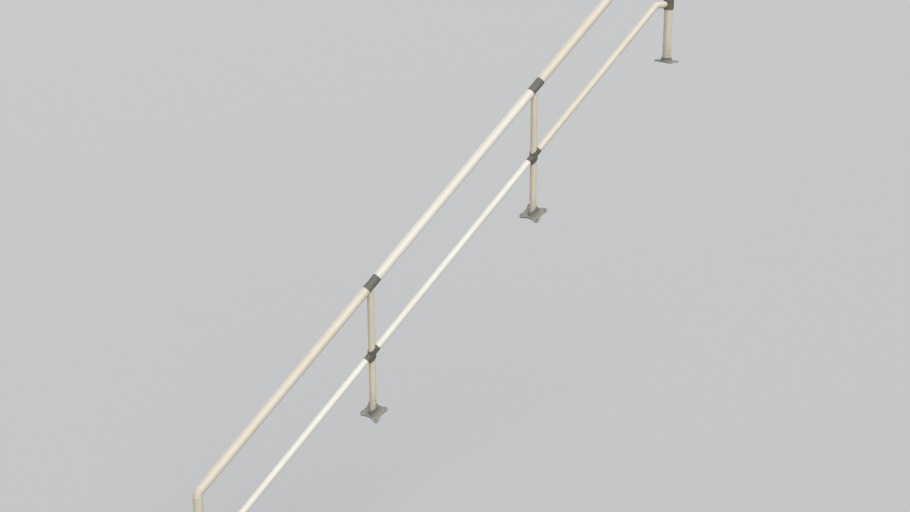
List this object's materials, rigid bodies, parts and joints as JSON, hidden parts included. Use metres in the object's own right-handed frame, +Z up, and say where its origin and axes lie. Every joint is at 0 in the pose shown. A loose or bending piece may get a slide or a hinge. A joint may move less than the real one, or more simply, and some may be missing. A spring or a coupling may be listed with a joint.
{
  "type": "stair balustrade",
  "caption": "Painted tube stair balustrade: handrail bent down into its end posts, mid rail in grey collars on upright posts, and lobed base flanges set to the flight and the landing.",
  "frame": {"origin": "middle of the underside of the lower end post's base flange, on that post's axis", "axes": "+X level along the flight in plan, the way the stair climbs; +Y level across the flight, square to the balustrade's plane; +Z up"},
  "size_m": [4.0347, 0.188, 3.9033],
  "materials": {
    "rail_paint": "cream satin paint",
    "fitting_grey": "dull grey coat"
  },
  "bodies": {
    "root": {"lower_end_post": "rail_paint", "lower_end_bend": "rail_paint", "top_rail_lower": "rail_paint", "top_rail_middle": "rail_paint", "top_rail_upper": "rail_paint", "top_rail_landing_bend": "rail_paint", "upper_end_bend": "rail_paint", "upper_end_post": "rail_paint", "pitch_post_lower": "rail_paint", "pitch_post_upper": "rail_paint", "mid_rail_lower": "rail_paint", "mid_rail_middle": "rail_paint", "mid_rail_upper": "rail_paint", "mid_rail_landing_bend": "rail_paint", "top_rail_coupling_lower": "fitting_grey", "top_rail_coupling_upper": "fitting_grey", "lower_end_collar": "fitting_grey", "pitch_collar_lower": "fitting_grey", "pitch_collar_upper": "fitting_grey", "upper_end_collar": "fitting_grey", "lower_end_flange": "fitting_grey", "pitch_flange_lower": "fitting_grey", "pitch_flange_upper": "fitting_grey", "upper_end_flange": "fitting_grey"}
  },
  "joints": []
}
